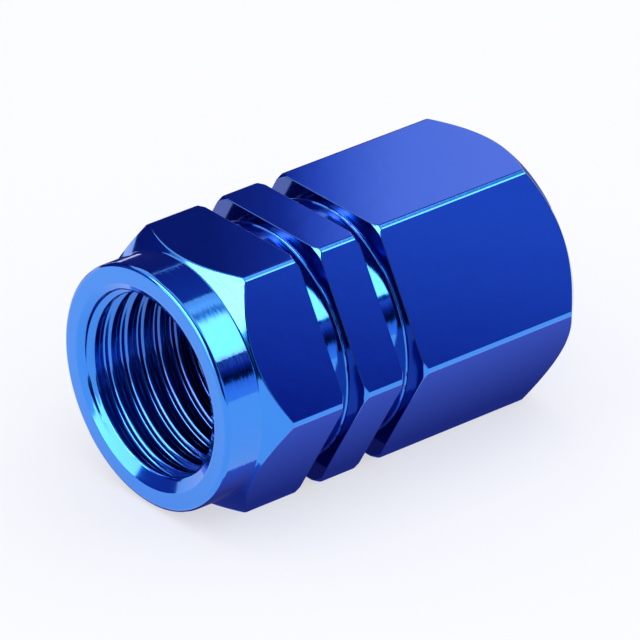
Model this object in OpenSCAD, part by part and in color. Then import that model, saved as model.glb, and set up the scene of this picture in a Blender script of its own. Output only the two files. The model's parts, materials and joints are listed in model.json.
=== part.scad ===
// Metal tyre valve cap, turned from hexagon bar, lying on one of its flats.
// The cap is drawn standing on its mouth, then laid down: mouth towards -Y,
// closed end towards +Y, the resting flat at Z = 0 and mid length at Y = 0.

/* [Hexagon] */
// Width across two opposite flats
across_flats = 10; // [9:0.1:14]
// How much of each long corner is skimmed off, measured along the radius
corner_skim = 0.05; // [0.02:0.01:0.2]
// Radial depth of the small chamfer that breaks the corners at each groove
corner_break = 0.14; // [0.1:0.02:0.4]

/* [Lengths along the axis] */
// Whole length from the mouth rim to the closed end
cap_length = 17; // [15:0.5:24]
// Length of the plain round collar at the mouth
collar_length = 1.65; // [1:0.05:2.5]
// Distance from the mouth rim to the first groove
band_end = 5; // [4.4:0.1:6]
// Width of each of the two grooves
groove_width = 1; // [0.6:0.1:1.4]
// Width of the hexagon ring between the two grooves
ring_width = 1.9; // [1.2:0.1:2.6]

/* [Turned steps] */
// How far the collar lies inside the flats
collar_step = 0.1; // [0.05:0.05:0.3]
// How deep the groove floors lie below the flats
groove_depth = 0.35; // [0.2:0.05:0.6]
// How far the flat round end lies inside the flats
crown_step = 0.08; // [0.02:0.02:0.3]
// Small chamfer on the outer edge of the mouth rim
rim_chamfer = 0.12; // [0.05:0.01:0.3]

/* [Threaded bore] */
// Diameter of the drilled bore, which is the small diameter of its thread
bore_d = 7.2; // [6.9:0.1:7.5]
// Diameter over the bottoms of the thread, which the run-out groove clears
thread_d = 7.9; // [7.7:0.05:8.1]
// Width of the countersunk mouth
mouth_d = 8.28; // [8.1:0.02:8.6]
// Full angle of the countersink's cone
countersink_angle = 120; // [90:10:130]
// How far the threaded wall runs on past the second groove, so that the
// wider run-out groove behind it lies inside the thick body
thread_past_groove = 0.2; // [0:0.1:1.5]

/* [Sealing washer] */
// Thickness of the rubber washer
washer_t = 1.2; // [0.8:0.1:2]
// Diameter of the hole in the washer
washer_hole_d = 2.6; // [1.6:0.1:4]
// Gap all round between the washer and the run-out groove
washer_gap = 0.05; // [0.02:0.01:0.15]
// Length of groove left free between the thread and the washer
runout_free = 0.5; // [0.3:0.1:1]

/* [Hidden] */
$fn = 96;
flat_r = across_flats / 2;
corner_r = flat_r / cos(30) - corner_skim;
break_r = corner_r - corner_break;
collar_r = flat_r - collar_step;
floor_r = flat_r - groove_depth;
crown_r = flat_r - crown_step;
bore_r = bore_d / 2;
runout_r = thread_d / 2 + washer_gap;
mouth_r = mouth_d / 2;
countersink_depth = (mouth_r - bore_r) / tan(countersink_angle / 2);
first_groove = band_end;
ring_start = first_groove + groove_width;
second_groove = ring_start + ring_width;
body_start = second_groove + groove_width;
crown_chamfer = corner_r - crown_r;
thread_end = body_start + thread_past_groove;
seat = thread_end + runout_free + washer_t;
over = 0.5;

// Half outline of the turned outside, radius against distance from the mouth
module turned_outline() {
    polygon([
        [0, 0],
        [collar_r - rim_chamfer, 0],
        [collar_r, rim_chamfer],
        [collar_r, collar_length],
        [corner_r, collar_length + corner_r - collar_r],
        [corner_r, first_groove - corner_break],
        [break_r, first_groove],
        [floor_r, first_groove],
        [floor_r, ring_start],
        [break_r, ring_start],
        [corner_r, ring_start + corner_break],
        [corner_r, second_groove - corner_break],
        [break_r, second_groove],
        [floor_r, second_groove],
        [floor_r, body_start],
        [break_r, body_start],
        [corner_r, body_start + corner_break],
        [corner_r, cap_length - crown_chamfer],
        [crown_r, cap_length],
        [0, cap_length]
    ]);
}

// Half outline of everything bored out from the mouth
module bored_outline() {
    polygon([
        [0, -over],
        [mouth_r, -over],
        [mouth_r, 0],
        [bore_r, countersink_depth],
        [bore_r, thread_end],
        [runout_r, thread_end],
        [runout_r, seat],
        [0, seat]
    ]);
}

// Hexagon bar with one flat facing each of the +Y and -Y sides
module hexagon_bar() {
    translate([0, 0, -over])
        cylinder(r = flat_r / cos(30), h = cap_length + 2 * over, $fn = 6);
}

// From standing on its mouth to lying on a flat, mouth towards -Y
module laid_down() {
    translate([0, -cap_length / 2, flat_r])
        rotate([-90, 0, 0])
            children();
}

// One turned piece: hexagon outside, round collar and grooves, blind bore
module cap_shell() {
    color("#2350c8")
        laid_down()
            difference() {
                intersection() {
                    rotate_extrude() turned_outline();
                    hexagon_bar();
                }
                rotate_extrude() bored_outline();
            }
}

// Flat rubber ring that the valve's end is screwed against
module sealing_washer() {
    color("#26262a")
        laid_down()
            translate([0, 0, seat - washer_t])
                difference() {
                    cylinder(r = runout_r - washer_gap, h = washer_t);
                    translate([0, 0, -over])
                        cylinder(d = washer_hole_d, h = washer_t + 2 * over);
                }
}

cap_shell();
sealing_washer();
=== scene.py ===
# %% [markdown]
# # A blue anodised tyre valve cap
# The cap is one turned piece of hexagon bar with a fine thread inside and a rubber
# washer at the end of the bore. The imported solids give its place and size. This lesson
# models the metal again as a mesh with rounded edges and a real thread, gives both
# materials their finish, and lights them as a small product photograph.

import json
import math

import bmesh
import bpy
from mathutils import Matrix, Vector


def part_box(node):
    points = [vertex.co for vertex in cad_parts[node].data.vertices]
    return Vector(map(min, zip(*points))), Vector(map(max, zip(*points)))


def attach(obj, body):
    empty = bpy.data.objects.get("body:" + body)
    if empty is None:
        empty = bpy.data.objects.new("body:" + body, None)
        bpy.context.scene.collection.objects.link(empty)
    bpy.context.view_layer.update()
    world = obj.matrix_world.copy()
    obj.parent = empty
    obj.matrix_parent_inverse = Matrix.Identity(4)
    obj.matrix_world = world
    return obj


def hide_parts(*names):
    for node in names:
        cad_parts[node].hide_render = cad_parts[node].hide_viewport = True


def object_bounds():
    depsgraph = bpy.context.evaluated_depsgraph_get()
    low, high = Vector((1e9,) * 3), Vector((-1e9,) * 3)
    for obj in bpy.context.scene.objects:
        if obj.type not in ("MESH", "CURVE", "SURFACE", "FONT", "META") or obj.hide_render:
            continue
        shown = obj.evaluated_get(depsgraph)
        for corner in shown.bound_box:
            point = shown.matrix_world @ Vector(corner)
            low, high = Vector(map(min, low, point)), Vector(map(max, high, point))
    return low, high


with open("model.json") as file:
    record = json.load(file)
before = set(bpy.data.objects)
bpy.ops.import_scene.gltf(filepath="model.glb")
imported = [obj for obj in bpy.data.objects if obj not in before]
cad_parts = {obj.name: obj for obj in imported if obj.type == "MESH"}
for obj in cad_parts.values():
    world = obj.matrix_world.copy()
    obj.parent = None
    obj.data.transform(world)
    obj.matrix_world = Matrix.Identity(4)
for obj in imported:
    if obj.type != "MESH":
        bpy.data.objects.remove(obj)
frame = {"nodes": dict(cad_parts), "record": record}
solid_low, solid_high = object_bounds()
MM = 0.001
scene = bpy.context.scene
print("solid box in mm", [round(v / MM, 2) for v in (*solid_low, *solid_high)])

# %% [markdown]
# Colours are written as sRGB hex, the way a colour picker gives them, but shaders work
# in linear light. One function does the change for every colour in the file. A second
# adds any node with its settings and links, and a third starts an empty material.

# %% Colours and nodes


def linear(hex_colour):
    """The linear RGBA of an sRGB hex colour such as "#2a6fe0"."""
    channels = [int(hex_colour[i:i + 2], 16) / 255 for i in (1, 3, 5)]
    return [c / 12.92 if c <= 0.04045 else ((c + 0.055) / 1.055) ** 2.4 for c in channels] + [1.0]


def add_node(tree, kind, values=None, links=None, **settings):
    """Add one node, set its properties and socket values, and link its inputs."""
    node = tree.nodes.new(kind)
    for name, value in settings.items():
        setattr(node, name, value)
    for socket, value in (values or {}).items():
        node.inputs[socket].default_value = value
    for socket, source in (links or {}).items():
        tree.links.new(source, node.inputs[socket])
    return node


def new_material(name):
    """An empty node material and its tree."""
    material = bpy.data.materials.new(name)
    material.use_nodes = True
    material.node_tree.nodes.clear()
    return material, material.node_tree


print("middle grey #808080 is", round(linear("#808080")[0], 3), "in linear light")

# %% [markdown]
# The real cap is turned on a lathe, so its sizes are distances along the axis from the
# mouth rim, and radii. They follow the solids: the box gives the length, the width
# across flats and the height of the axis, and the thread mount gives the bore. The
# steps are small: the collar and the closed end lie about a tenth of a millimetre inside
# the flats, the groove floors about a third.

# %% Sizes of the cap
shell_low, shell_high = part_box("cap_shell")
washer_low, washer_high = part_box("sealing_washer")
thread_mount = next(m for m in frame["record"]["mounts"] if m["name"] == "valve_thread")

LENGTH = shell_high.y - shell_low.y
FLAT_R = (shell_high.z - shell_low.z) / 2
AXIS_Z = (shell_high.z + shell_low.z) / 2
MOUTH_Y = shell_low.y
COLLAR_R = FLAT_R - 0.1 * MM
FLOOR_R = FLAT_R - 0.35 * MM
CROWN_R = FLAT_R - 0.08 * MM
CORNER_R = FLAT_R / math.cos(math.radians(30))
OUTER_R = CORNER_R - 0.05 * MM
BREAK_R = CORNER_R - 0.19 * MM
CORNER_BREAK = OUTER_R - BREAK_R
COLLAR_END = 1.65 * MM
BAND_END = 5.0 * MM
RING_START = 6.0 * MM
RING_END = 7.9 * MM
BODY_START = 8.9 * MM
BORE_R = thread_mount["dims"]["r_mm"] * MM
THREAD_DEPTH = 0.25 * MM
ROOT_R = BORE_R + THREAD_DEPTH
MOUTH_R = 4.14 * MM
COUNTERSINK_SLOPE = math.tan(math.radians(120 / 2))
WASHER_GAP = 0.05 * MM
RUNOUT_R = (washer_high.x - washer_low.x) / 2 + WASHER_GAP
SEAT = washer_high.y - MOUTH_Y
THREAD_END = 9.1 * MM
THREAD_START = 0.06 * MM
PITCH = 25.4 / 32 * MM
WELD = 0.002 * MM
ON_PLANE = 0.0005 * MM
SAME_HEIGHT = 0.01 * MM
SLACK = 0.02 * MM
print("length", round(LENGTH / MM, 2), "flats", round(2 * FLAT_R / MM, 2),
      "pitch", round(PITCH / MM, 3))

# %% [markdown]
# The camera looks down on the cap from the same side as the photograph, from 29 cm away
# with a long lens, so the perspective is as weak as it is there. The focal length sets
# how much of the picture the cap fills.

# %% Camera
CAMERA_AZIMUTH = math.radians(50.3)
CAMERA_ELEVATION = math.radians(28.3)
CAMERA_DISTANCE = 290 * MM
FOCAL_LENGTH = 430
centre = (solid_low + solid_high) / 2
towards_camera = Vector((
    math.sin(CAMERA_AZIMUTH) * math.cos(CAMERA_ELEVATION),
    -math.cos(CAMERA_AZIMUTH) * math.cos(CAMERA_ELEVATION),
    math.sin(CAMERA_ELEVATION),
))
camera = bpy.data.objects.new("camera", bpy.data.cameras.new("camera"))
scene.collection.objects.link(camera)
camera.location = centre + towards_camera * CAMERA_DISTANCE
camera.rotation_mode = "QUATERNION"
camera.rotation_quaternion = towards_camera.to_track_quat("Z", "Y")
camera.data.lens = FOCAL_LENGTH
camera.data.clip_start = 5 * MM
camera.data.clip_end = 5
scene.camera = camera
print("camera at", [round(v / MM) for v in camera.location], "mm")

# %% [markdown]
# The outside is what a lathe leaves: a half outline of radius against distance, spun
# once round the axis. It is drawn as a wire of vertices and edges, and `spin` makes the
# skin. Its widest radius skims the corners of the hexagon, which leaves a narrow strip on
# each long corner once the flats are cut.

# %% Spin the turned outline
SEGMENTS = 144


def wire(mesh, points):
    """A chain of vertices and edges through (radius, distance) points, in the XZ plane."""
    made = [mesh.verts.new((r, 0, s)) for r, s in points]
    edges = [mesh.edges.new(pair) for pair in zip(made, made[1:])]
    return made, edges


outside = [
    (MOUTH_R, 0),
    (COLLAR_R, 0),
    (COLLAR_R, COLLAR_END),
    (OUTER_R, COLLAR_END + OUTER_R - COLLAR_R),
    (OUTER_R, BAND_END - CORNER_BREAK),
    (BREAK_R, BAND_END),
    (FLOOR_R, BAND_END),
    (FLOOR_R, RING_START),
    (BREAK_R, RING_START),
    (OUTER_R, RING_START + CORNER_BREAK),
    (OUTER_R, RING_END - CORNER_BREAK),
    (BREAK_R, RING_END),
    (FLOOR_R, RING_END),
    (FLOOR_R, BODY_START),
    (BREAK_R, BODY_START),
    (OUTER_R, BODY_START + CORNER_BREAK),
    (OUTER_R, LENGTH - (OUTER_R - CROWN_R)),
    (CROWN_R, LENGTH),
    (0, LENGTH),
]
inside = [(RUNOUT_R, THREAD_END), (RUNOUT_R, SEAT), (0, SEAT)]

shell = bmesh.new()
wires = []
for outline in (outside, inside):
    verts, edges = wire(shell, outline)
    wires += verts + edges
bmesh.ops.spin(
    shell,
    geom=wires,
    cent=(0, 0, 0),
    axis=(0, 0, 1),
    angle=math.tau,
    steps=SEGMENTS,
    use_merge=True,
)
bmesh.ops.remove_doubles(shell, verts=shell.verts, dist=WELD)
print("turned skin:", len(shell.faces), "faces")

# %% [markdown]
# Hexagon bar has six flats. Each is a plane that slices the turned skin: what lies
# outside is deleted and the open outlines left in the plane are filled with one face
# each, so a flat is truly flat and mirrors like one.

# %% Cut the six flats
TURNED_SLOT, FLAT_SLOT, UNPOLISHED_SHADED_SLOT = 0, 1, 2
for corner in range(6):
    turn = math.radians(60 * corner + 30)
    outward = Vector((math.cos(turn), math.sin(turn), 0))
    cut = bmesh.ops.bisect_plane(
        shell,
        geom=shell.verts[:] + shell.edges[:] + shell.faces[:],
        dist=ON_PLANE,
        plane_co=outward * FLAT_R,
        plane_no=outward,
        clear_outer=True,
    )
    rim = [e for e in cut["geom_cut"] if isinstance(e, bmesh.types.BMEdge) and e.is_boundary]
    filled = bmesh.ops.holes_fill(shell, edges=rim, sides=0)
    for face in filled["faces"]:
        face.material_index = FLAT_SLOT
    print("flat", corner, "faces", len(filled["faces"]))

# %% [markdown]
# The thread is a small profile, one pitch long, swept along a helix: `spin` with a step
# along the axis does it. Neighbouring turns share their edges, so merging them gives one
# skin. Crests and roots are rounded, because a tap wears and the dyed skin softens them.
# The sweep starts before the mouth and ends behind the thread, and is trimmed after.

# %% Sweep the thread
THREAD_STEPS = 96
CREST = 0.28 * MM
FLANK = THREAD_DEPTH * math.tan(math.radians(30))
ROOT = PITCH - CREST - 2 * FLANK
THREAD_ROUND = 0.06 * MM
SPARE_TURNS = 3
turns = math.ceil((THREAD_END - THREAD_START) / PITCH) + SPARE_TURNS
start = THREAD_START - SPARE_TURNS / 2 * PITCH
thread = bmesh.new()
profile = [
    (ROOT_R, start),
    (ROOT_R, start + ROOT),
    (BORE_R, start + ROOT + FLANK),
    (BORE_R, start + ROOT + FLANK + CREST),
    (ROOT_R, start + PITCH),
]
verts, edges = wire(thread, profile)
bmesh.ops.bevel(
    thread,
    geom=verts[1:-1],
    offset=THREAD_ROUND,
    segments=3,
    profile=0.5,
    affect="VERTICES",
    material=-1,
)
long_edges = [e for e in thread.edges if e.calc_length() > THREAD_ROUND]
bmesh.ops.subdivide_edges(thread, edges=long_edges, cuts=2)
bmesh.ops.spin(
    thread,
    geom=thread.verts[:] + thread.edges[:],
    cent=(0, 0, 0),
    axis=(0, 0, 1),
    dvec=(0, 0, PITCH / THREAD_STEPS),
    angle=math.tau * turns,
    steps=THREAD_STEPS * turns,
)
bmesh.ops.remove_doubles(thread, verts=thread.verts, dist=WELD)
print("swept thread:", len(thread.faces), "faces")

# %% [markdown]
# Planes trim the two ends of the thread. At the mouth a countersink has cut the first
# crests away: every point that would stand inside its cone is moved out to the cone.

# %% Trim and countersink the thread
for f in thread.faces:
    f.material_index = UNPOLISHED_SHADED_SLOT
for height, side in ((THREAD_START, -1), (THREAD_END, 1)):
    bmesh.ops.bisect_plane(
        thread,
        geom=thread.verts[:] + thread.edges[:] + thread.faces[:],
        dist=ON_PLANE,
        plane_co=(0, 0, height),
        plane_no=(0, 0, side),
        clear_outer=True,
    )
for v in thread.verts:
    cone_r = MOUTH_R - v.co.z * COUNTERSINK_SLOPE
    if v.co.xy.length < cone_r:
        v.co.xy *= cone_r / v.co.xy.length
print("thread:", len(thread.faces), "faces,", turns - SPARE_TURNS, "turns")

# %% [markdown]
# The thread joins the turned skin in two places: a hair's breadth inside the mouth, and
# at the step out into the wider run-out groove behind it. Each join is a ring of faces
# between two open loops of edges, which `bridge_loops` makes. After it no edge is open.

# %% Join the thread to the turned skin
thread_mesh = bpy.data.meshes.new("thread_part")
thread.to_mesh(thread_mesh)
thread.free()
shell.from_mesh(thread_mesh)
bpy.data.meshes.remove(thread_mesh)


def open_loop(mesh, height, radius_low, radius_high):
    """The boundary edges that lie at one height between two radii."""
    found = []
    for e in mesh.edges:
        if not e.is_boundary:
            continue
        spots = [(v.co.xy.length, v.co.z) for v in e.verts]
        if all(abs(z - height) < SAME_HEIGHT and radius_low < r < radius_high for r, z in spots):
            found.append(e)
    return found


mouth_edge = open_loop(shell, 0, MOUTH_R - SLACK, MOUTH_R + SLACK)
thread_first = open_loop(shell, THREAD_START, ROOT_R, MOUTH_R - SLACK)
thread_last = open_loop(shell, THREAD_END, BORE_R - SLACK, ROOT_R + SLACK)
runout_edge = open_loop(shell, THREAD_END, RUNOUT_R - SLACK, RUNOUT_R + SLACK)
print("open loops:", len(mouth_edge), len(thread_first), len(thread_last), len(runout_edge))
bmesh.ops.bridge_loops(shell, edges=mouth_edge + thread_first)
bmesh.ops.bridge_loops(shell, edges=thread_last + runout_edge)
print("edges still open:", sum(1 for e in shell.edges if e.is_boundary))

# %% [markdown]
# A polishing wheel brightens the outside but reaches neither the bore nor the walls of
# the narrow grooves. The groove walls join the thread in the slot of the duller finish,
# which also gives them the darker blue of the bore's painted shade.

# %% Mark the groove walls
WALL_TILT = math.radians(10)
bmesh.ops.recalc_face_normals(shell, faces=shell.faces)
walls = 0
for f in shell.faces:
    spot = f.calc_center_median()
    in_groove = BAND_END - SLACK < spot.z < BODY_START + SLACK and spot.xy.length > FLOOR_R + SLACK
    if in_groove and abs(f.normal.z) > math.cos(WALL_TILT):
        f.material_index = UNPOLISHED_SHADED_SLOT
        walls += 1
print("groove wall faces:", walls)

# %% [markdown]
# No machined edge is a knife edge: the nose of the cutting tool, tumbling and the dyed
# skin leave a tiny round on it, and that round is what catches the light as a bright
# line. Each sharp edge is marked with its own share of the widest round, so that one
# Bevel modifier makes a wide round on the mouth rim, a middling one in the bottoms of the
# grooves and a small one elsewhere.

# %% Mark the edges that get a round
WIDEST_ROUND = 0.2 * MM
FILLET_SHARE = 0.5
SMALL_SHARE = 0.18
SHARP = math.radians(25)
weight = shell.edges.layers.float.new("bevel_weight_edge")
marked = 0
for e in shell.edges:
    middle = (e.verts[0].co + e.verts[1].co) / 2
    in_bore = middle.xy.length < MOUTH_R - SLACK and middle.z < SEAT + SLACK
    if in_bore or not e.is_manifold or e.calc_face_angle(0) < SHARP:
        continue
    at_rim = middle.z < SLACK and middle.xy.length > COLLAR_R - SLACK
    at_groove_floor = abs(middle.xy.length - FLOOR_R) < SLACK
    e[weight] = 1.0 if at_rim else FILLET_SHARE if at_groove_floor else SMALL_SHARE
    marked += 1
print("edges marked:", marked)

# %% [markdown]
# The mesh was built standing on its mouth. It is turned to lie down inside the mesh
# itself, so that the finished object keeps its origin at zero, unturned.

# %% Lay the shell down and make it an object
LAY_DOWN = Matrix.Translation((0, MOUTH_Y, AXIS_Z)) @ Matrix.Rotation(math.radians(-90), 4, "X")


def finished(mesh, name, *materials):
    """Lay a bmesh down and store it as a smooth-shaded object with its materials."""
    bmesh.ops.transform(mesh, matrix=LAY_DOWN, verts=mesh.verts)
    data = bpy.data.meshes.new(name)
    mesh.to_mesh(data)
    mesh.free()
    data.polygons.foreach_set("use_smooth", [True] * len(data.polygons))
    for material in materials:
        data.materials.append(material)
    made = bpy.data.objects.new(name, data)
    scene.collection.objects.link(made)
    return made


print("the mouth goes to y", round((LAY_DOWN @ Vector((0, 0, 0))).y / MM, 2), "mm")

# %% [markdown]
# Dyed anodised aluminium: the metal is bright dipped, its skin is grown into a thin
# clear oxide, and that oxide is filled with blue dye. The eye sees a mirror tinted blue
# under a clear gloss, which turns whitish where the surface is seen at a slant.
#
# One noise drives two things, because both come from the same tool: the height of the
# surface and how dull it is. Where the metal was turned, the noise is read by distance
# along the axis and radius only, so it draws rings round the axis. The rings are drawn
# 0.2 mm wide, about twice as coarse as a real feed mark, so that they survive at the
# size of the picture. On the flats it is a broad, hardly visible waviness. Where the
# polishing wheel doesn't reach, the metal is duller, and its blue is painted deeper with the
# distance from the mouth: painted shade for the light that has met many blue walls.

# %% Anodised aluminium
DYED_METAL = "#1f88f0"
# The second blue is painted shade: the darker blue drawn into the bore and the groove walls away
# from the mouth.
PAINTED_SHADE_BLUE = "#16409c"
GRAZING_TINT = "#e4e4ff"
OXIDE_IOR = 1.6
NOISE_LOW, NOISE_HIGH = 0.3, 0.7
DULLNESS_SPREAD = 0.25


def anodised(name, roughness, mark_width, mark_depth, turned, painted_shade_over=0):
    """Dyed metal with tool marks and, if asked, painted shade: a blue that deepens away from the
    mouth.
    """
    material, tree = new_material(name)
    surface = add_node(tree, "ShaderNodeBsdfPrincipled", values={
        "Base Color": linear(DYED_METAL),
        "Metallic": 1.0,
        "Specular Tint": linear(GRAZING_TINT),
        "Coat Weight": 0.85,
        "Coat Roughness": 0.04,
        "Coat IOR": OXIDE_IOR,
    })
    add_node(tree, "ShaderNodeOutputMaterial", links={"Surface": surface.outputs["BSDF"]})
    position = add_node(tree, "ShaderNodeTexCoord")
    centred = add_node(tree, "ShaderNodeMapping", values={"Location": (0, -MOUTH_Y, -AXIS_Z)},
                       links={"Vector": position.outputs["Object"]})
    pattern = centred.outputs["Vector"]
    parts = add_node(tree, "ShaderNodeSeparateXYZ", links={"Vector": pattern})
    if turned:
        across = add_node(tree, "ShaderNodeCombineXYZ",
                          links={"X": parts.outputs["X"], "Y": parts.outputs["Z"]})
        radius = add_node(tree, "ShaderNodeVectorMath", operation="LENGTH",
                          links={0: across.outputs["Vector"]})
        tool_path = add_node(tree, "ShaderNodeCombineXYZ",
                             links={"X": parts.outputs["Y"], "Y": radius.outputs["Value"]})
        pattern = tool_path.outputs["Vector"]
    marks = add_node(tree, "ShaderNodeTexNoise",
                     values={"Scale": 1 / mark_width, "Detail": 3.0, "Roughness": 0.6},
                     links={"Vector": pattern})
    bump = add_node(tree, "ShaderNodeBump", values={"Strength": 1.0, "Distance": mark_depth},
                    links={"Height": marks.outputs["Fac"]})
    tree.links.new(bump.outputs["Normal"], surface.inputs["Normal"])
    dullness = add_node(tree, "ShaderNodeMapRange",
                        values={"From Min": NOISE_LOW, "From Max": NOISE_HIGH,
                                "To Min": roughness * (1 - DULLNESS_SPREAD),
                                "To Max": roughness * (1 + DULLNESS_SPREAD)},
                        links={"Value": marks.outputs["Fac"]})
    tree.links.new(dullness.outputs["Result"], surface.inputs["Roughness"])
    # Painted shade: the base colour runs from the dyed blue to the darker blue over this distance
    # from the mouth.
    if painted_shade_over:
        depth = add_node(tree, "ShaderNodeMapRange",
                         values={"From Min": 0.0, "From Max": painted_shade_over},
                         links={"Value": parts.outputs["Y"]})
        dye_and_shade = add_node(tree, "ShaderNodeValToRGB", links={"Fac": depth.outputs["Result"]})
        dye_and_shade.color_ramp.elements[0].color = linear(DYED_METAL)
        dye_and_shade.color_ramp.elements[1].color = linear(PAINTED_SHADE_BLUE)
        tree.links.new(dye_and_shade.outputs["Color"], surface.inputs["Base Color"])
    print(name, "roughness", roughness, "marks", round(mark_width / MM, 2), "mm wide")
    return material


TOOL_MARK = 0.2 * MM
turned_metal = anodised("anodised_turned", roughness=0.09, mark_width=TOOL_MARK,
                        mark_depth=0.009 * MM, turned=True)
flat_metal = anodised("anodised_flat", roughness=0.07, mark_width=3 * MM,
                      mark_depth=0.008 * MM, turned=False)
unpolished_shaded_metal = anodised("anodised_unpolished_shaded", roughness=0.12, mark_width=TOOL_MARK,
                            mark_depth=0.0015 * MM, turned=True, painted_shade_over=5 * MM)

# %% [markdown]
# The washer is moulded nitrile rubber filled with carbon black. It gives the eye almost
# nothing: a dark grey with a soft sheen, slightly cloudy, with a fine matt grain from the
# skin of the mould.

# %% Seal rubber
CLOUD_WIDTH = 0.6 * MM
GRAIN_WIDTH = 0.08 * MM
GRAIN_DEPTH = 0.004 * MM
rubber, tree = new_material("seal_rubber")
surface = add_node(tree, "ShaderNodeBsdfPrincipled", values={"Roughness": 0.7})
add_node(tree, "ShaderNodeOutputMaterial", links={"Surface": surface.outputs["BSDF"]})
position = add_node(tree, "ShaderNodeTexCoord")
clouds = add_node(tree, "ShaderNodeTexNoise", values={"Scale": 1 / CLOUD_WIDTH, "Detail": 2.0},
                  links={"Vector": position.outputs["Object"]})
black = add_node(tree, "ShaderNodeValToRGB", links={"Fac": clouds.outputs["Fac"]})
black.color_ramp.elements[0].color = linear("#161618")
black.color_ramp.elements[1].color = linear("#28282c")
tree.links.new(black.outputs["Color"], surface.inputs["Base Color"])
grain = add_node(tree, "ShaderNodeTexNoise", values={"Scale": 1 / GRAIN_WIDTH},
                 links={"Vector": position.outputs["Object"]})
bump = add_node(tree, "ShaderNodeBump", values={"Strength": 1.0, "Distance": GRAIN_DEPTH},
                links={"Height": grain.outputs["Fac"]})
tree.links.new(bump.outputs["Normal"], surface.inputs["Normal"])
print("rubber grain", round(GRAIN_WIDTH / MM, 2), "mm")

# %% [markdown]
# The mesh now takes the place of the metal solid, which is hidden, and rides on the same
# body with its own three finishes. The Bevel modifier is told to harden the normals, which keeps
# the shading of every flat and cone exactly flat up to the rounds: a mirror shows the
# smallest tilt. The washer's solid already has the right form and only gets its rubber.

# %% Dress the frame
cap = finished(shell, "cap_body", turned_metal, flat_metal, unpolished_shaded_metal)
rounding = cap.modifiers.new("edge_rounds", "BEVEL")
rounding.limit_method = "WEIGHT"
rounding.width = WIDEST_ROUND
rounding.segments = 3
rounding.profile = 0.5
rounding.use_clamp_overlap = False
rounding.harden_normals = True
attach(cap, "root")
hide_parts("cap_shell")

washer = frame["nodes"]["sealing_washer"]
washer.data.materials.clear()
washer.data.materials.append(rubber)
print(cap.name, len(cap.data.polygons), "faces;", washer.name, len(washer.data.polygons), "faces")

# %% [markdown]
# Polished metal shows the room more than itself, so the studio is built for its
# reflections: a pale table top, an even white room, one large softbox overhead for soft
# shadows, dark cards that give the flats their deep blue, and a few bright panels for the
# glints.
#
# The white of the background is a shader for the rays that show it, and no light: a
# small function finds those rays, for the table here and for the room later.

# %% Find the rays that show a surface
WHITE_SHARE = 0.6


def seen_rays(tree):
    """1 for the rays that show a surface to the camera, in a mirror or through glass."""
    path = add_node(tree, "ShaderNodeLightPath")
    seen = path.outputs["Is Camera Ray"]
    for kind in ("Is Glossy Ray", "Is Transmission Ray"):
        either = add_node(tree, "ShaderNodeMath", operation="MAXIMUM",
                          links={0: seen, 1: path.outputs[kind]})
        seen = either.outputs["Value"]
    return seen


print("white mixed into the table top:", WHITE_SHARE)

# %% [markdown]
# The table top is plain matt paint. Towards the camera and in reflections it is mixed
# with white at a strength of 1, which lifts it to the near white of a product photograph
# and leaves a light shadow under the cap.

# %% Floor
FLOOR_HALF = 1.5
floor_mesh = bmesh.new()
bmesh.ops.create_grid(floor_mesh, x_segments=1, y_segments=1, size=FLOOR_HALF)
floor_data = bpy.data.meshes.new("floor")
floor_mesh.to_mesh(floor_data)
floor_mesh.free()
table_top, tree = new_material("table_top")
surface = add_node(tree, "ShaderNodeBsdfPrincipled", values={
    "Base Color": linear("#eff0fb"),
    "Roughness": 0.9,
    "Specular IOR Level": 0.0,
})
white = add_node(tree, "ShaderNodeEmission", values={"Color": linear("#ffffff"), "Strength": 1.0})
share = add_node(tree, "ShaderNodeMath", operation="MULTIPLY", values={1: WHITE_SHARE},
                 links={0: seen_rays(tree)})
mixed = add_node(tree, "ShaderNodeMixShader", links={
    0: share.outputs["Value"],
    1: surface.outputs["BSDF"],
    2: white.outputs["Emission"],
})
add_node(tree, "ShaderNodeOutputMaterial", links={"Surface": mixed.outputs["Shader"]})
floor_data.materials.append(table_top)
floor = bpy.data.objects.new("floor", floor_data)
floor.location.z = solid_low.z
scene.collection.objects.link(floor)
print("table top", 2 * FLOOR_HALF, "m wide")

# %% [markdown]
# A softbox is a lamp behind a wide white cloth. This one hangs above the cap and only
# throws light: it is hidden from reflections, where the panels below take over.

# %% Softbox


def place(made, direction, distance):
    """Put a lamp or a card at a distance from the cap, facing it."""
    away = Vector(direction).normalized()
    made.location = centre + away * distance
    made.rotation_mode = "QUATERNION"
    made.rotation_quaternion = away.to_track_quat("Z", "Y")
    scene.collection.objects.link(made)
    return made


def softbox(name, direction, distance, width, height, brightness):
    """A rectangular area light, with its brightness given as a mirror would show it."""
    lamp = bpy.data.lights.new(name, "AREA")
    lamp.shape = "RECTANGLE"
    lamp.size = width
    lamp.size_y = height
    lamp.energy = brightness * width * height * math.pi
    return place(bpy.data.objects.new(name, lamp), direction, distance)


above = softbox("softbox_above", direction=(0.3, -0.1, 0.95), distance=500 * MM,
                width=600 * MM, height=500 * MM, brightness=0.32)
above.visible_glossy = False
print("softbox", round(above.data.energy, 3), "W")

# %% [markdown]
# What a flat mirrors is one small patch of the room, so each flat can be given its own
# tone by a card in the right place. A card here is a plane that shines evenly in its own
# colours, seen in reflections only: it throws no light and no shadow. A ramp of colours
# across it, with stops in millimetres from its middle and turned by some degrees, stands
# for the soft edges and folds of real card and cloth, because a hard edge would be
# mirrored as one.

# %% The function that makes a card


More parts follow.
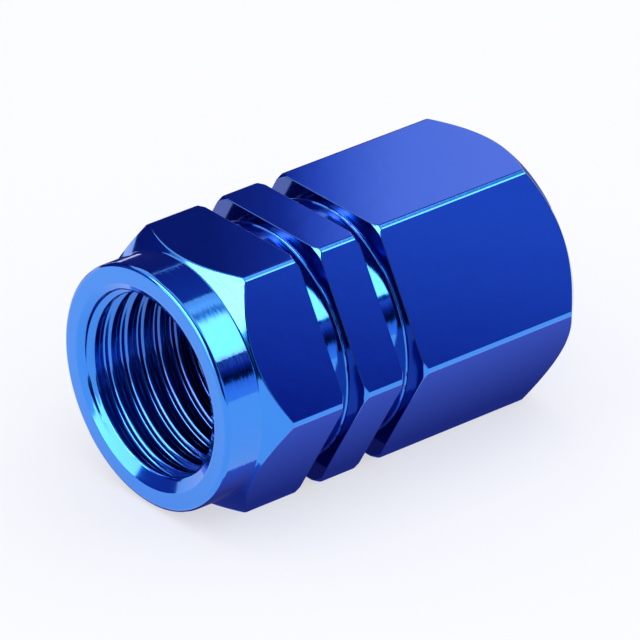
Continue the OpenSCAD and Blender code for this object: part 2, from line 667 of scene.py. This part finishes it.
def card(name, direction, distance, width, height, turn, stops, strength=1.0):
    """A plane that shines in a ramp of colours and is seen in reflections only."""
    mesh = bmesh.new()
    bmesh.ops.create_grid(mesh, x_segments=1, y_segments=1, size=0.5)
    bmesh.ops.scale(mesh, vec=(width, height, 1), verts=mesh.verts)
    data = bpy.data.meshes.new(name)
    mesh.to_mesh(data)
    mesh.free()
    paper, tree = new_material(name)
    position = add_node(tree, "ShaderNodeTexCoord")
    turned = add_node(tree, "ShaderNodeVectorRotate", rotation_type="Z_AXIS",
                      values={"Angle": -math.radians(turn)},
                      links={"Vector": position.outputs["Object"]})
    along = add_node(tree, "ShaderNodeSeparateXYZ", links={"Vector": turned.outputs["Vector"]})
    first, last = stops[0][0] * MM, stops[-1][0] * MM
    share = add_node(tree, "ShaderNodeMapRange", values={"From Min": first, "From Max": last},
                     links={"Value": along.outputs["X"]})
    ramp = add_node(tree, "ShaderNodeValToRGB", links={"Fac": share.outputs["Result"]})
    while len(ramp.color_ramp.elements) < len(stops):
        ramp.color_ramp.elements.new(0.5)
    for element, (spot, colour) in zip(ramp.color_ramp.elements, stops):
        element.position = (spot * MM - first) / (last - first)
        element.color = linear(colour)
    glow = add_node(tree, "ShaderNodeEmission", values={"Strength": strength},
                    links={"Color": ramp.outputs["Color"]})
    add_node(tree, "ShaderNodeOutputMaterial", links={"Surface": glow.outputs["Emission"]})
    data.materials.append(paper)
    made = place(bpy.data.objects.new(name, data), direction, distance)
    made.visible_camera = False
    made.visible_diffuse = False
    made.visible_shadow = False
    print(name, round(width / MM), "x", round(height / MM), "mm")
    return made


print("cards face the point", [round(v / MM, 1) for v in centre], "mm")

# %% [markdown]
# The dark cards come first. The one on the right is mirrored in the front flats, where
# its ramp makes each a little lighter at the top, and a small one parts the bright
# stripe on the collar. The one on the left is mirrored in the top flats, dark in the
# band and light in the body. The one above darkens the top of the collar and of the
# groove floors, and the one far to the left the far side of the cone. The ones in front
# stand for the dark side of the studio behind the camera and show in the collar and the
# grooves. The last two lie on the table. The one just under the cap is a painted shadow,
# dark in the middle, which the lower flats mirror in place of the cap's own shadow. The
# one on the left darkens the far side of the collar.

# %% Dark cards
card("card_right", (0.8, 0.6, 0), 120 * MM, 300 * MM, 132 * MM, 48,
     [(-8, "#b3ccfa"), (6, "#93aae8"), (9, "#0c103b"), (17, "#070927"), (27, "#3b388b"),
      (38, "#7779c6"), (42, "#7779c6"), (46, "#191e5a"), (58, "#13184e")])
card("card_collar", (112, 47, 49), 131 * MM, 42 * MM, 50 * MM, 0,
     [(-20, "#070927"), (20, "#0c103b")])
card("card_left", (-0.77, 0.64, 0), 110 * MM, 140 * MM, 160 * MM, 180,
     [(-6, "#272f6e"), (-2, "#3a448f"), (0, "#6e79c6"), (4, "#beb3e7"), (9, "#cfbceb")])
card("card_above", (-0.36, 0.45, 0.82), 220 * MM, 130 * MM, 150 * MM, 0,
     [(-65, "#48549d"), (65, "#2c347e")])
card("card_far_left", (-0.97, -0.15, 0.2), 300 * MM, 240 * MM, 200 * MM, 0,
     [(-120, "#191e5a"), (120, "#2c347e")])
card("card_front_left", (-0.72, -0.66, 0.2), 300 * MM, 260 * MM, 160 * MM, 90,
     [(-40, "#3b4695"), (60, "#4b57a9")])
card("card_front_right", (0.73, -0.46, 0.5), 350 * MM, 420 * MM, 400 * MM, 90,
     [(-200, "#0c103b"), (200, "#252d6a")])
card("card_front_above", (-0.05, -0.52, 0.85), 330 * MM, 360 * MM, 110 * MM, 0,
     [(-180, "#3b4695"), (180, "#191e5a")])
CARD_LIFT = 0.05 * MM
TABLE_DEPTH = AXIS_Z - CARD_LIFT
# Painted shadow: this card is dark in the middle and lighter at its edges, like the cap's shadow on
# the table, and only reflections see it.
painted_shadow_card = card("card_painted_shadow", (0, 0, -1), TABLE_DEPTH, 11.2 * MM, 20.6 * MM, 0,
             [(-5.6, "#7882c9"), (-3.2, "#3e4280"), (3.2, "#3e4280"), (5.6, "#7882c9")])
painted_shadow_card.location.y += 1.75 * MM
beside = card("card_beside", (0, 0, -1), TABLE_DEPTH, 42 * MM, 46 * MM, 0,
              [(-21, "#7484c4"), (-12, "#222c6e"), (12, "#222c6e"), (21, "#7484c4")])
beside.location.x -= 31 * MM
beside.location.y += 20 * MM

# %% [markdown]
# The bright panels are the glints. The key panel, high in front, lights the cone behind
# the collar and, by a second bounce, the groove walls. The panel low in front shines in
# the countersink and down the thread. The one behind draws the bright stripe on the
# collar, on the floors of the grooves and along the long edges.

# %% Bright panels
card("glow_front", (-0.19, -0.98, 0.24), 280 * MM, 238 * MM, 104 * MM, 90,
     [(-75, "#ffffff"), (75, "#c0c0c0")], strength=4)
card("glow_key", (-0.25, -0.765, 0.59), 400 * MM, 620 * MM, 118 * MM, 0,
     [(-310, "#303030"), (-190, "#606060"), (-140, "#e8e8e8"), (0, "#ffffff"), (200, "#ffffff"),
      (310, "#c0c0c0")], strength=8)
card("glow_back", (0.47, 0.56, 0.66), 300 * MM, 250 * MM, 230 * MM, 90,
     [(-90, "#ffffff"), (60, "#ffffff"), (74, "#7a7d81"), (88, "#535558"), (100, "#a2a5aa"),
      (115, "#a2a5aa")], strength=3.5)

# %% [markdown]
# The room itself is white. To the camera, and in reflections, it is an even white at a
# strength of 1. For the light that falls on the table it is a little brighter from above
# than from the sides, which shapes the shadow.

# %% World
BRIGHT_SIDE = Vector((0.35, -0.1, 0.93)).normalized()
LOWEST_FACING = -0.15
DIMMEST, BRIGHTEST = 0.7, 1.17
world = bpy.data.worlds.new("studio")
scene.world = world
world.use_nodes = True
tree = world.node_tree
tree.nodes.clear()
direction = add_node(tree, "ShaderNodeTexCoord")
facing = add_node(tree, "ShaderNodeVectorMath", operation="DOT_PRODUCT",
                  values={1: BRIGHT_SIDE}, links={0: direction.outputs["Generated"]})
strength = add_node(tree, "ShaderNodeMapRange",
                    values={"From Min": LOWEST_FACING, "From Max": 1.0,
                            "To Min": DIMMEST, "To Max": BRIGHTEST},
                    links={"Value": facing.outputs["Value"]})
ambient = add_node(tree, "ShaderNodeBackground", values={"Color": linear("#ffffff")},
                   links={"Strength": strength.outputs["Result"]})
white = add_node(tree, "ShaderNodeBackground", values={"Color": linear("#ffffff"), "Strength": 1.0})
mixed = add_node(tree, "ShaderNodeMixShader", links={
    0: seen_rays(tree),
    1: ambient.outputs["Background"],
    2: white.outputs["Background"],
})
add_node(tree, "ShaderNodeOutputWorld", links={"Surface": mixed.outputs["Shader"]})

scene.view_settings.view_transform = "Standard"
print("world", DIMMEST, "to", BRIGHTEST)
